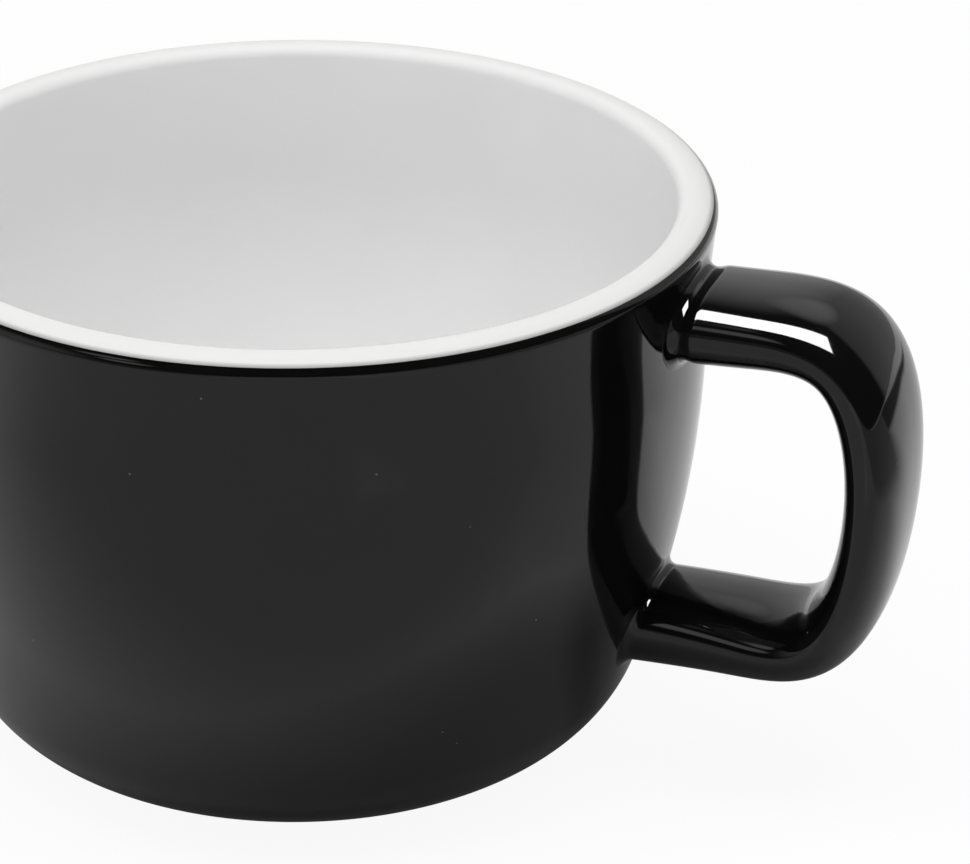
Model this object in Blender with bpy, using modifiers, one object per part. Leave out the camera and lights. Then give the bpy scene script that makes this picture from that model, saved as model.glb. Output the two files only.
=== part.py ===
"""Cappuccino cup: a turned stoneware body, a strap handle luted on with slip, and two glaze coats.

Lengths are metres and +Z is up. The cup stands on z = 0 with its handle towards +X. The origin is
the middle of the footprint, so the turning axis lies a little way along -X.
"""

import math

import bpy
import numpy as np

MM = 0.001

# The glazed outside, read down from the lip: lip, flare, waist, long wall arc, corner arc.
HEIGHT = 66.2 * MM
RIM_RADIUS = 47.5 * MM
LIP_OUTER = 3.0 * MM
WAIST_RADIUS = 46.6 * MM
WAIST_HEIGHT = 51.3 * MM
WALL_ARC = 120.0 * MM
CORNER_START = math.radians(19.5)
CORNER_ARC = 15.2 * MM

# The inside and the underside. The wall's thickness follows from the lip's two roundings.
LIP_INNER = 1.6 * MM
FLOOR_HEIGHT = 6.5 * MM
FLOOR_ARC = 18.0 * MM
FOOT_RADIUS = 26.0 * MM
FOOT_WIDTH = 3.0 * MM
FOOT_CHAMFER = 0.4 * MM
FOOT_RECESS = 2.2 * MM

# The glaze coats. Angles run down from horizontal, so those on the lip are negative.
GLAZE = 0.4 * MM
GAP = 0.3 * MM
CLAY_DEPTH = GLAZE + GAP
WHITE_EDGE = math.radians(-43.5)
BLACK_EDGE = WHITE_EDGE + GAP / LIP_OUTER
BLACK_END = math.radians(76.0)
BARE_END = math.radians(81.0)

# The handle: control points of its centreline as (distance from the axis, height), and its
# section across and through the strap at the upper root, the grip and the lower root.
HANDLE_CAGE = np.array([
    (42.3, 57.6), (53.8, 58.0), (66.6, 58.7), (70.6, 41.6), (66.0, 19.3), (53.8, 20.3), (36.3, 19.8),
]) * MM
STRAP_WIDTH = np.array([15.8, 20.1, 13.4]) * MM
STRAP_THICKNESS = np.array([9.4, 6.7, 10.2]) * MM
STRAP_SQUARENESS = 2.3

# The roots: a fillet on the wall, the pad of slip under it, and a shallow neck at the upper root,
# which starts and ends at distances from the wall.
ROOT_FILLET = 1.2 * MM
FILLET_SINK = 0.3 * MM
JOINT_HEIGHT = 1.2 * MM
NECK_DEPTH = 0.25 * MM
NECK_START = 1.2 * MM
NECK_END = 2.7 * MM

# How finely the round forms are cut into faces.
TURN_STEPS = 48
LIP_POINTS = 5
FLARE_POINTS = 3
WALL_POINTS = 5
CORNER_POINTS = 5
SECTION_POINTS = 16
GRIP_STATIONS = 16
BEND_WEIGHT = 30.0 * MM
ROOT_STATIONS = 8
ROOT_REACH = 4.5 * MM
ROOT_INSIDE = 1.8 * MM
END_INSET = 0.5 * MM
PATH_SAMPLES = 600
BEND_SAMPLES = 200
MERGE_DISTANCE = 0.01 * MM

# Where the cutting solids end: beyond the coats on the lip and the corner, and past the cup itself.
CUT_TOP = math.radians(-80.0)
CUT_END = math.radians(88.0)
CUT_DEPTH = 2 * GLAZE
CUT_BEYOND = 2.0 * MM

# The tangent points that follow from the driving sizes.
LIP_CENTRE = np.array([RIM_RADIUS - LIP_OUTER, HEIGHT - LIP_OUTER])
WALL_CENTRE = np.array([WAIST_RADIUS - WALL_ARC, WAIST_HEIGHT])
FLARE_RISE = LIP_CENTRE[1] - WAIST_HEIGHT
FLARE_INSET = WAIST_RADIUS - LIP_CENTRE[0]
FLARE_ARC = (FLARE_RISE**2 + FLARE_INSET**2 - LIP_OUTER**2) / (2 * (LIP_OUTER - FLARE_INSET))
FLARE_CENTRE = np.array([WAIST_RADIUS + FLARE_ARC, WAIST_HEIGHT])
FLARE_ANGLE = math.asin(FLARE_RISE / (FLARE_ARC + LIP_OUTER))
INNER_LIP_CENTRE = np.array([LIP_CENTRE[0], HEIGHT - LIP_INNER])
INNER_LIP_REACH = math.dist(INNER_LIP_CENTRE, FLARE_CENTRE)
INNER_FLARE_ANGLE = math.asin((INNER_LIP_CENTRE[1] - WAIST_HEIGHT) / INNER_LIP_REACH)
WALL = INNER_LIP_REACH + LIP_INNER - FLARE_ARC


def on_arc(centre, radius, angles):
    """Points (radius, height) of an arc whose angles run down from horizontal."""
    return centre + radius * np.column_stack([np.cos(angles), -np.sin(angles)])


def joined(*runs):
    """One run of points from several, without the repeated point where two meet."""
    return np.vstack([runs[0]] + [run[1:] for run in runs[1:]])


def flare_run(depth, angle):
    """The flare under the lip, from an angle down to the waist. Its centre is outside the cup."""
    return on_arc(FLARE_CENTRE, FLARE_ARC + depth, np.linspace(math.pi + angle, math.pi, FLARE_POINTS))


def corner_centre():
    """Centre of the corner arc, which continues the wall arc without a kink."""
    return on_arc(WALL_CENTRE, WALL_ARC - CORNER_ARC, np.array([CORNER_START]))[0]


def outside_run(depth, first, last):
    """The outside at a depth below the glazed surface, from an angle on the lip to one on the corner."""
    lip = on_arc(LIP_CENTRE, LIP_OUTER - depth, np.linspace(first, FLARE_ANGLE, LIP_POINTS))
    wall = on_arc(WALL_CENTRE, WALL_ARC - depth, np.linspace(0, CORNER_START, WALL_POINTS))
    corner = on_arc(corner_centre(), CORNER_ARC - depth, np.linspace(CORNER_START, last, CORNER_POINTS))
    return joined(lip, flare_run(depth, FLARE_ANGLE), wall, corner)


def inside_run(depth):
    """The inside at a depth below the glazed surface, from the lip's crown down to the axis."""
    lip_angles = np.linspace(-math.pi / 2, INNER_FLARE_ANGLE - math.pi, LIP_POINTS)
    lip = on_arc(INNER_LIP_CENTRE, LIP_INNER - depth, lip_angles)
    floor_centre_height = FLOOR_HEIGHT + FLOOR_ARC
    reach = WALL_ARC - WALL - FLOOR_ARC
    start = math.asin((WAIST_HEIGHT - floor_centre_height) / reach)
    floor_centre = np.array([WALL_CENTRE[0] + reach * math.cos(start), floor_centre_height])
    wall = on_arc(WALL_CENTRE, WALL_ARC - WALL + depth, np.linspace(0, start, WALL_POINTS))
    corner = on_arc(floor_centre, FLOOR_ARC + depth, np.linspace(start, math.pi / 2, CORNER_POINTS))
    floor = np.array([corner[-1], (0.0, FLOOR_HEIGHT - depth)])
    return joined(lip, flare_run(WALL - depth, INNER_FLARE_ANGLE), wall, corner, floor)


def foot_run(start):
    """The unglazed foot ring and the recess inside it, from a point on the corner to the axis."""
    inner = FOOT_RADIUS - FOOT_WIDTH
    return np.array([
        start,
        (FOOT_RADIUS, start[1] - FOOT_CHAMFER),
        (FOOT_RADIUS, FOOT_CHAMFER),
        (FOOT_RADIUS - FOOT_CHAMFER, 0.0),
        (inner + FOOT_CHAMFER, 0.0),
        (inner, FOOT_CHAMFER),
        (inner - FOOT_CHAMFER, FOOT_RECESS),
        (0.0, FOOT_RECESS),
    ])


def wall_radius(height):
    """Radius of the glazed outside at a height."""
    points = outside_run(0.0, 0.0, BARE_END)[::-1]
    return np.interp(height, points[:, 1], points[:, 0])


def handle_curve():
    """Points of the handle's centreline from end to end, and the length along it to each.

    It is a uniform cubic B-spline on the cage, which is reflected at its ends so that the curve
    starts and stops on the first and last control points.
    """
    ends = 2 * HANDLE_CAGE[[0, -1]] - HANDLE_CAGE[[1, -2]]
    cage = np.vstack([ends[:1], HANDLE_CAGE, ends[1:]])
    spans = len(cage) - 3
    place = np.linspace(0, spans, PATH_SAMPLES)
    span = np.minimum(place.astype(int), spans - 1)
    part = (place - span)[:, None]
    weights = (
        (1 - part) ** 3,
        3 * part**3 - 6 * part**2 + 4,
        -3 * part**3 + 3 * part**2 + 3 * part + 1,
        part**3,
    )
    curve = sum(weight * cage[span + k] for k, weight in enumerate(weights)) / 6
    length = np.concatenate([[0], np.cumsum(np.linalg.norm(np.diff(curve, axis=0), axis=1))])
    return curve, length


def on_path(positions):
    """Centreline points and unit directions at lengths along the handle."""
    curve, length = handle_curve()
    slope = np.gradient(curve, length, axis=0)
    points = np.column_stack([np.interp(positions, length, axis) for axis in curve.T])
    ways = np.column_stack([np.interp(positions, length, axis) for axis in slope.T])
    return points, ways / np.linalg.norm(ways, axis=1)[:, None]


def root_stations():
    """Lengths along the path of the sections at the upper root and at the lower one, close together."""
    curve, length = handle_curve()
    clear = np.flatnonzero(curve[:, 0] > wall_radius(curve[:, 1]))
    upper = length[clear[0]] + np.linspace(-ROOT_INSIDE, ROOT_REACH, ROOT_STATIONS)
    lower = length[clear[-1]] + np.linspace(-ROOT_REACH, ROOT_INSIDE, ROOT_STATIONS)
    return np.insert(upper, 0, END_INSET), np.append(lower, length[-1] - END_INSET)


def stations():
    """Lengths along the path of all sections: between the roots they crowd towards the bends."""
    upper, lower = root_stations()
    between = np.linspace(upper[-1], lower[0], BEND_SAMPLES)
    ways = on_path(between)[1]
    turned_by = np.concatenate([[0], np.cumsum(np.linalg.norm(np.diff(ways, axis=0), axis=1))])
    spread = between - between[0] + BEND_WEIGHT * turned_by
    grip = np.interp(np.linspace(0, spread[-1], GRIP_STATIONS + 2)[1:-1], spread, between)
    return np.concatenate([upper, grip, lower])


def along_strap(sizes, share):
    """A size along the strap: straight between its root values, swelling to its grip value halfway."""
    upper, grip, lower = sizes
    return upper + (lower - upper) * share + (grip - (upper + lower) / 2) * np.sin(math.pi * share) ** 2


def handle_sections(positions, depth, fillet):
    """Rings of points round the strap at a depth below the glazed surface.

    A section is a superellipse. Near the wall it shrinks to the neck of the upper root as a half
    wave, and with a fillet each point moves out along a quarter circle.
    """
    points, ways = on_path(positions)
    share = positions / handle_curve()[1][-1]
    turn = (np.arange(SECTION_POINTS) + 0.5) * 2 * math.pi / SECTION_POINTS
    power = 2 / STRAP_SQUARENESS
    through = np.sign(np.cos(turn)) * np.abs(np.cos(turn)) ** power
    across = np.sign(np.sin(turn)) * np.abs(np.sin(turn)) ** power
    half_thickness = (along_strap(STRAP_THICKNESS, share) / 2 - depth)[:, None]
    half_width = (along_strap(STRAP_WIDTH, share) / 2 - depth)[:, None]

    def placed(grown):
        out = (half_thickness + grown) * through
        radius = points[:, :1] - ways[:, 1:] * out
        height = points[:, 1:] + ways[:, :1] * out
        return np.stack([radius, (half_width + grown) * across, height], axis=-1)

    plain = placed(0.0)
    clear = np.hypot(plain[..., 0], plain[..., 1]) - wall_radius(plain[..., 2])
    past_neck = np.clip((clear - NECK_START) / (NECK_END - NECK_START), 0, 1)
    upper_half = (share < 0.5)[:, None]
    grown = -NECK_DEPTH * upper_half * (1 + np.cos(math.pi * past_neck)) / 2
    if fillet:
        radius = ROOT_FILLET + FILLET_SINK + depth
        near = np.clip((clear + FILLET_SINK + depth) / radius, 0, 1)
        grown = grown + radius * (1 - np.sqrt(1 - (1 - near) ** 2))
    return placed(grown)


def finish(name, colour, roughness):
    """A plain ceramic finish."""
    material = bpy.data.materials.new(name)
    material.use_nodes = True
    shader = material.node_tree.nodes["Principled BSDF"]
    shader.inputs["Base Color"].default_value = (*colour, 1.0)
    shader.inputs["Roughness"].default_value = roughness
    shader.inputs["Metallic"].default_value = 0.0
    return material


def add_object(name, mesh, place, axis):
    """An object in a collection, carried by the empty on the turning axis."""
    thing = bpy.data.objects.new(name, mesh)
    place.objects.link(thing)
    thing.parent = axis
    return thing


def turned(name, profile, place, axis):
    """A solid turned from a profile that runs down its outer side."""
    mesh = bpy.data.meshes.new(name)
    points = [(radius, 0.0, height) for radius, height in profile]
    mesh.from_pydata(points, [(i, i + 1) for i in range(len(points) - 1)], [])
    thing = add_object(name, mesh, place, axis)
    screw = thing.modifiers.new("Turn", "SCREW")
    screw.steps = TURN_STEPS
    screw.render_steps = TURN_STEPS
    screw.use_merge_vertices = True
    screw.merge_threshold = MERGE_DISTANCE
    screw.use_smooth_shade = True
    return thing


def lofted(name, rings, place, axis):
    """A solid lofted through rings of points and closed by a flat cap at each end."""
    count, around = rings.shape[:2]
    ring = np.arange(around)
    after = np.roll(ring, -1)
    start = np.arange(count - 1)[:, None] * around
    following = start + around
    sides = np.stack([start + ring, following + ring, following + after, start + after], axis=-1)
    faces = sides.reshape(-1, 4).tolist()
    faces.append(ring.tolist())
    faces.append((ring[::-1] + (count - 1) * around).tolist())
    mesh = bpy.data.meshes.new(name)
    mesh.from_pydata(rings.reshape(-1, 3).tolist(), [], faces)
    mesh.shade_smooth()
    return add_object(name, mesh, place, axis)


def combine(thing, other, operation):
    """A Boolean with a guide solid, which stays out of the finished model."""
    step = thing.modifiers.new(operation.title(), "BOOLEAN")
    step.operation = operation
    step.object = other
    other.hide_render = True
    other.display_type = "WIRE"


def solid_inside(depth):
    """Profile of a plug that fills the cup's outside at a depth, closed to the axis at both ends."""
    side = outside_run(depth, CUT_TOP, BARE_END)
    return np.vstack([(0.0, side[0, 1]), side, (0.0, side[-1, 1])])


def build_cup_body(parts, axis):
    """Wall, floor and foot ring, turned in one piece from stoneware clay."""
    outside = outside_run(CLAY_DEPTH, -math.pi / 2, BARE_END)
    profile = joined(inside_run(CLAY_DEPTH)[::-1], outside, foot_run(outside[-1]))
    body = turned("cup_body", profile, parts, axis)
    body.data.materials.append(finish("fired_stoneware_body", (0.72, 0.66, 0.57), 0.8))


def build_white_glaze(parts, axis):
    """White coat over the floor, the inner wall and the lip, down to its edge on the outer shoulder."""
    def coat(depth):
        angles = np.linspace(-math.pi / 2, WHITE_EDGE, LIP_POINTS)
        shoulder = on_arc(LIP_CENTRE, LIP_OUTER - depth, angles)
        return joined(inside_run(depth)[::-1], shoulder)

    profile = np.vstack([coat(0.0), coat(GLAZE)[::-1]])
    coating = turned("white_inner_glaze", profile, parts, axis)
    coating.data.materials.append(finish("white_glaze", (0.86, 0.86, 0.85), 0.12))


def build_black_glaze(parts, guides, axis):
    """Black coat over the outer wall, both joints and the handle, open at the lip and the foot."""
    skin = outside_run(0.0, BLACK_EDGE, BLACK_END)
    ends = outside_run(CUT_DEPTH, BLACK_EDGE, BLACK_END)
    profile = np.vstack([(0.0, ends[0, 1]), ends[0], skin, ends[-1], (0.0, ends[-1, 1])])
    coating = turned("black_outer_glaze", profile, parts, axis)
    coating.data.materials.append(finish("black_glaze", (0.006, 0.006, 0.006), 0.08))

    hollow = outside_run(GLAZE, CUT_TOP, CUT_END)
    above = (0.0, HEIGHT + CUT_BEYOND)
    below = (0.0, -CUT_BEYOND)
    cup_hollow = turned("glaze_over_cup", np.vstack([above, hollow, below]), guides, axis)
    handle_skin = lofted("glazed_handle", handle_sections(stations(), 0.0, True), guides, axis)
    handle_hollow = lofted("glaze_over_handle", handle_sections(stations(), GLAZE, True), guides, axis)
    combine(cup_hollow, handle_hollow, "UNION")
    combine(coating, handle_skin, "UNION")
    combine(coating, cup_hollow, "DIFFERENCE")


def build_handle(parts, guides, axis):
    """The strap handle, cast by itself and cut to the curve of the wall at both roots."""
    handle = lofted("handle", handle_sections(stations(), CLAY_DEPTH, False), parts, axis)
    handle.data.materials.append(finish("fired_stoneware_handle", (0.70, 0.64, 0.55), 0.8))
    seat = turned("handle_seat", solid_inside(GLAZE - JOINT_HEIGHT - GAP), guides, axis)
    combine(handle, seat, "DIFFERENCE")


def build_joint(root, positions, parts, guides, axis):
    """The pad of slip that lutes one root to the wall, with its fillet all round."""
    pad = lofted(f"{root}_handle_joint", handle_sections(positions, CLAY_DEPTH, True), parts, axis)
    pad.data.materials.append(finish(f"fired_slip_{root}", (0.66, 0.60, 0.52), 0.85))
    top = turned(f"{root}_pad_top", solid_inside(GLAZE - JOINT_HEIGHT), guides, axis)
    bed = turned(f"{root}_pad_bed", solid_inside(GLAZE), guides, axis)
    combine(pad, top, "INTERSECT")
    combine(pad, bed, "DIFFERENCE")


def build():
    """The whole cup, with the turning axis placed so that the origin is mid-footprint."""
    for thing in list(bpy.data.objects):
        bpy.data.objects.remove(thing, do_unlink=True)
    parts = bpy.data.collections.new("cappuccino_cup")
    guides = bpy.data.collections.new("cutters")
    bpy.context.scene.collection.children.link(parts)
    bpy.context.scene.collection.children.link(guides)

    handle_reach = handle_sections(stations(), 0.0, True)[..., 0].max()
    axis = bpy.data.objects.new("turning_axis", None)
    axis.location.x = (RIM_RADIUS - handle_reach) / 2
    parts.objects.link(axis)

    build_cup_body(parts, axis)
    build_white_glaze(parts, axis)
    build_black_glaze(parts, guides, axis)
    build_handle(parts, guides, axis)
    upper, lower = root_stations()
    build_joint("upper", upper, parts, guides, axis)
    build_joint("lower", lower, parts, guides, axis)
    print(f"handle reach {handle_reach / MM:.2f} mm, wall {WALL / MM:.2f} mm thick")
    print(f"turning axis at x = {axis.location.x / MM:.3f} mm")


build()
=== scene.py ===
# %% [markdown]
# # A cappuccino cup, black outside and white inside
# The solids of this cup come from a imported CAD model: a turned clay body, a strap handle, two pads of
# slip that lute the handle on, and two coats of glaze. This lesson keeps that model as a fixed frame,
# lays finer surfaces over the coats and the clay, and gives every surface its finish.

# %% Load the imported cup
import math

import bpy
import numpy as np
from mathutils import Matrix, Vector


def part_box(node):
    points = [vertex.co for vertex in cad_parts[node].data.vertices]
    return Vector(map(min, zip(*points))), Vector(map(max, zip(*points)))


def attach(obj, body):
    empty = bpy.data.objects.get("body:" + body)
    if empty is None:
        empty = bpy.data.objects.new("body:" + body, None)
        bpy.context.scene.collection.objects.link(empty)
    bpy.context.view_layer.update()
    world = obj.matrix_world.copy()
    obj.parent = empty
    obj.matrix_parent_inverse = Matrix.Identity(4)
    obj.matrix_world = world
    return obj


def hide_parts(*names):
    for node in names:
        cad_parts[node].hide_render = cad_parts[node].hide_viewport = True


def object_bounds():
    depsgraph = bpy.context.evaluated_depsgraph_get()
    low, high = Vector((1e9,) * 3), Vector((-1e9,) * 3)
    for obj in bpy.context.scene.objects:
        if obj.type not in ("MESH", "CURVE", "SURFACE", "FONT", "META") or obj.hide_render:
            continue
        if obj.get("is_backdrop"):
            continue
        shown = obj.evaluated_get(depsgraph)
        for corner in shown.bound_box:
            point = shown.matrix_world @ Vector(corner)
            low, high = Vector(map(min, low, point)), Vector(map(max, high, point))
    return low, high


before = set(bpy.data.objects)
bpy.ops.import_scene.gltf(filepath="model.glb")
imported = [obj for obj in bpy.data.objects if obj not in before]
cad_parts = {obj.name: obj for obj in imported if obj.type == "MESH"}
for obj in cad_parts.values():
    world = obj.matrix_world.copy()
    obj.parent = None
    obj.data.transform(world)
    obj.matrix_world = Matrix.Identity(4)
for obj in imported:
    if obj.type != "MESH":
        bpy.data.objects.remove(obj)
cad_low, cad_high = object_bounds()
print("nodes:", sorted(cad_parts))

# %% [markdown]
# ## What the frame already says
# The turning axis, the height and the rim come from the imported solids, so that the fine surfaces stand
# exactly where the CAD stands. The clay body is round, so the middle of its box is its axis.

# %% Axis, height and rim
MM = 0.001
body_low, body_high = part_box("cup_body")
AXIS_X = (body_low.x + body_high.x) / 2
HEIGHT = cad_high.z
RIM_RADIUS = cad_high.y
print(f"axis at x = {AXIS_X / MM:.2f} mm, height {HEIGHT / MM:.2f} mm, rim radius {RIM_RADIUS / MM:.2f} mm")

# %% [markdown]
# ## The outline that a potter's rib would follow
# Seen from the side, the cup is a chain of arcs that meet without a kink: the broad crown of the lip, its
# tight outer shoulder, a faint flare under it, a waist, a long wall and a round corner above the foot.
# Tracing points by eye would give a wavy wall that shows in every reflection, so the outline is worked out
# from a few radii. Angles run down from horizontal, as in the CAD, so on top of the lip they are negative.

# %% Radii and tangent points
LIP_REACH = 3.0 * MM
CROWN_ARC = 4.0 * MM
SHOULDER_ARC = 1.3 * MM
WAIST_RADIUS = 46.6 * MM
WAIST_HEIGHT = 51.3 * MM
WALL_ARC = 120.0 * MM
CORNER_START = math.radians(19.5)
CORNER_ARC = 15.2 * MM


def on_arc(centre, radius, angles):
    """Centre plus radius times (cosine, minus sine): points (distance from the axis, height)."""
    return centre + np.stack([radius * np.cos(angles), -radius * np.sin(angles)], axis=-1)


def flare_radius(waist, lip, radius):
    """Radius of the arc that is upright at the waist and touches the lip's circle from outside.

    Half of (rise squared plus inset squared minus radius squared) over (radius minus inset). With a
    negative radius it touches the circle from inside.
    """
    inset, rise = waist[0] - lip[0], lip[1] - waist[1]
    return (rise**2 + inset**2 - radius**2) / (2 * (radius - inset))


crown_centre = np.array([RIM_RADIUS - LIP_REACH, HEIGHT - CROWN_ARC])
shoulder_angle = -math.acos((LIP_REACH - SHOULDER_ARC) / (CROWN_ARC - SHOULDER_ARC))
shoulder_centre = on_arc(crown_centre, CROWN_ARC - SHOULDER_ARC, shoulder_angle)
waist = np.array([WAIST_RADIUS, WAIST_HEIGHT])
flare_arc = flare_radius(waist, shoulder_centre, SHOULDER_ARC)
flare_centre = waist + (flare_arc, 0)
flare_angle = math.asin((shoulder_centre[1] - WAIST_HEIGHT) / (flare_arc + SHOULDER_ARC))
wall_centre = waist - (WALL_ARC, 0)
corner_centre = on_arc(wall_centre, WALL_ARC - CORNER_ARC, CORNER_START)
print(f"flare arc {flare_arc / MM:.1f} mm, corner centre {np.round(corner_centre / MM, 2)} mm")

# %% [markdown]
# ## Outlines at a depth
# Coat and clay follow the same chain of arcs, one inside the other. An offset curve keeps the centre of
# each arc and changes only its radius, so one function with a depth gives the skin of the glaze, its
# hidden side and the clay under it.

# %% Outline of the outside at a depth below the glaze
LIP_ROWS = 32
FLARE_ROWS = 16
WALL_ROWS = 44
CORNER_ROWS = 34
BARE_END = math.radians(81.0)
LAP = 0.02 * MM  # how far the black coat's skin lies under the outline, where the white one laps it
LIP_SLIVER = 0.01  # radians of the lip that the wall's own line takes in


def joined(*runs):
    """One run of points from several, without the repeated point where two meet."""
    return np.vstack([runs[0]] + [run[1:] for run in runs[1:]])


def lip_run(depth, first, last):
    """The wide arc of the crown up to the shoulder's angle, and the tight arc of the shoulder past it."""
    angles = np.linspace(first, last, LIP_ROWS)
    crown = on_arc(crown_centre, CROWN_ARC - depth, angles)
    shoulder = on_arc(shoulder_centre, SHOULDER_ARC - depth, angles)
    return np.where(angles[:, None] < shoulder_angle, crown, shoulder)


def outside_run(depth, first, last):
    """Lip, flare, wall and corner arcs in turn, each offset inwards by the depth."""
    lip = lip_run(depth, first, flare_angle)
    flare_turn = np.linspace(math.pi + flare_angle, math.pi, FLARE_ROWS)
    flare = on_arc(flare_centre, flare_arc + depth, flare_turn)
    wall = on_arc(wall_centre, WALL_ARC - depth, np.linspace(0, CORNER_START, WALL_ROWS))
    corner = on_arc(corner_centre, CORNER_ARC - depth, np.linspace(CORNER_START, last, CORNER_ROWS))
    return joined(lip, flare, wall, corner)


wall_line = outside_run(LAP, flare_angle - LIP_SLIVER, BARE_END)[::-1]
print(f"outside outline from {wall_line[-1] / MM} down to {wall_line[0] / MM} mm")

# %% [markdown]
# ## From a grid of points to a closed mesh
# A turned or lofted piece is a grid: one parameter runs along the outline or the path, the other runs
# round. The faces follow from the grid's indices alone, so two short functions close every piece: the
# columns always wrap round, and the rows either wrap too, which makes a closed ring, or end in two poles.

# %% Turning and closing
AROUND = 256


def turned(outline):
    """Each outline point (r, z) becomes a circle (axis + r cos a, r sin a, z)."""
    turn = np.linspace(0, 2 * math.pi, AROUND, endpoint=False)
    radius, height = outline[:, :1], outline[:, 1:]
    x = AXIS_X + radius * np.cos(turn)
    y = radius * np.sin(turn)
    return np.stack([x, y, height + 0 * x], axis=-1)


def ring_faces(rows, columns):
    """Quads between each row and the next, with the last row joined to the first."""
    row = np.arange(rows)[:, None] * columns
    below = np.roll(row, -1, axis=0)
    column = np.arange(columns)
    beside = np.roll(column, -1)
    return np.stack([row + column, below + column, below + beside, row + beside], axis=-1).reshape(-1, 4)


def poled_faces(rows, columns):
    """Quads between the rows, and a fan of triangles to one point at each end."""
    quads = ring_faces(rows, columns)[:(rows - 1) * columns]
    column = np.arange(columns)
    beside = np.roll(column, -1)
    last = (rows - 1) * columns
    first_fan = np.stack([column, beside, np.full(columns, rows * columns)], axis=-1)
    last_fan = np.stack([last + beside, last + column, np.full(columns, rows * columns + 1)], axis=-1)
    return quads.tolist() + first_fan.tolist() + last_fan.tolist()


def piece(name, points, faces, node):
    """A smooth mesh object that rides on the frame and stands for a CAD node."""
    mesh = bpy.data.meshes.new(name)
    mesh.from_pydata(points.reshape(-1, 3), [], faces)
    mesh.validate()
    mesh.shade_smooth()
    thing = bpy.data.objects.new(name, mesh)
    bpy.context.scene.collection.objects.link(thing)
    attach(thing, "root")
    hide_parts(node)
    print(f"{name}: {len(mesh.vertices)} points, {len(mesh.polygons)} faces")
    return thing


# %% [markdown]
# ## The black coat on the wall
# The outside is dipped in black glaze up to the lip's outer shoulder. A fired coat has no sharp rim: it
# thins out under the white coat at the top, and rolls down onto the bare clay above the foot. The sleeve
# below is a closed ring of an outer outline and an inner one, so it is as thick as a real coat. The inner
# one is out of sight, so it takes only every fourth row.

# %% Black sleeve round the body
GLAZE = 0.4 * MM
CLAY_DEPTH = 0.7 * MM  # the coat, and the gap that stands in for its bond
WHITE_EDGE = math.radians(-52.4)
BLACK_END = math.radians(76.0)
TUCK = math.radians(2.0)  # how far the black coat runs on under the white one
ROLL = math.radians(2.4)  # the turn in which its lower edge rolls in
ROLL_BITE = 0.05 * MM  # how far that edge sinks into the clay
ROLL_ROWS = 10
SLEEVE_THINNING = 4

rolling = np.linspace(0, math.pi / 2, ROLL_ROWS)
roll_depth = LAP + (CLAY_DEPTH + ROLL_BITE - LAP) * (1 - np.cos(rolling))
rolled = on_arc(corner_centre, CORNER_ARC - roll_depth, BLACK_END - ROLL * (1 - np.sin(rolling)))
outer_line = joined(outside_run(LAP, WHITE_EDGE - TUCK, BLACK_END - ROLL), rolled)
inner_line = outside_run(GLAZE, WHITE_EDGE - TUCK, BLACK_END)[::-SLEEVE_THINNING]
sleeve = turned(np.vstack([outer_line, inner_line]))
print(f"black sleeve grid {sleeve.shape[:2]}, edge at {math.degrees(WHITE_EDGE):.0f} degrees on the lip")

# %% [markdown]
# ## The path of the handle
# The strap leaves the wall level, bends down through the grip and comes back level. One smooth curve
# carries it: a cubic B-spline, whose control points pull the curve without being touched by it. The
# curve lies in the plane through the axis, so each point is a distance from the axis and a height.

# %% Centreline of the strap
HANDLE_CAGE = MM * np.array([
    (42.3, 57.6), (53.8, 58.0), (66.6, 58.7), (70.5, 41.6), (66.0, 19.3), (53.8, 20.3), (36.3, 19.8),
])
# The B-spline's weights: a row for each power of the place in a span, a column for each control point
SPLINE = np.array([(1, 4, 1, 0), (-3, 0, 3, 0), (3, -6, 3, 0), (-1, 3, -3, 1)]) / 6
PATH_POINTS = 1500

order = np.arange(len(SPLINE))
ends = 2 * HANDLE_CAGE[[0, -1]] - HANDLE_CAGE[[1, -2]]
cage = np.vstack([ends[:1], HANDLE_CAGE, ends[1:]])
span_count = len(cage) - order[-1]
place = np.linspace(0, span_count, PATH_POINTS)
span = np.minimum(place.astype(int), span_count - 1)
powers = (place - span)[:, None] ** order
centreline = np.einsum("nk,nkd->nd", powers @ SPLINE, cage[span[:, None] + order])
run_length = np.concatenate([[0], np.cumsum(np.linalg.norm(np.diff(centreline, axis=0), axis=1))])
heading = np.gradient(centreline, run_length, axis=0)
heading /= np.linalg.norm(heading, axis=1)[:, None]
print(f"handle centreline {run_length[-1] / MM:.1f} mm long, {span_count} spans")

# %% [markdown]
# ## The strap itself
# Across the path the strap is a superellipse, rounder than a bar and squarer than an ellipse. It is
# widest and thinnest at the grip. Each point of the surface is a function of two parameters: how far
# along the path it is, and how far round the section.

# %% Section of the strap
STRAP_WIDTH = MM * np.array([15.8, 20.1, 13.4])
STRAP_THICKNESS = MM * np.array([9.4, 6.7, 10.2])
STRAP_SQUARENESS = 2.3
SECTION_POINTS = 144
SEARCH_ROUNDS = 8

section = np.linspace(0, 2 * math.pi, SECTION_POINTS, endpoint=False)
through = np.sign(np.cos(section)) * np.abs(np.cos(section)) ** (2 / STRAP_SQUARENESS)
across = np.sign(np.sin(section)) * np.abs(np.sin(section)) ** (2 / STRAP_SQUARENESS)


def along_strap(sizes, share):
    """Straight from the upper root's size to the lower one's, plus a sine-squared swell to the grip's."""
    upper, grip, lower = sizes
    return upper + (lower - upper) * share + (grip - (upper + lower) / 2) * np.sin(math.pi * share) ** 2


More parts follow.
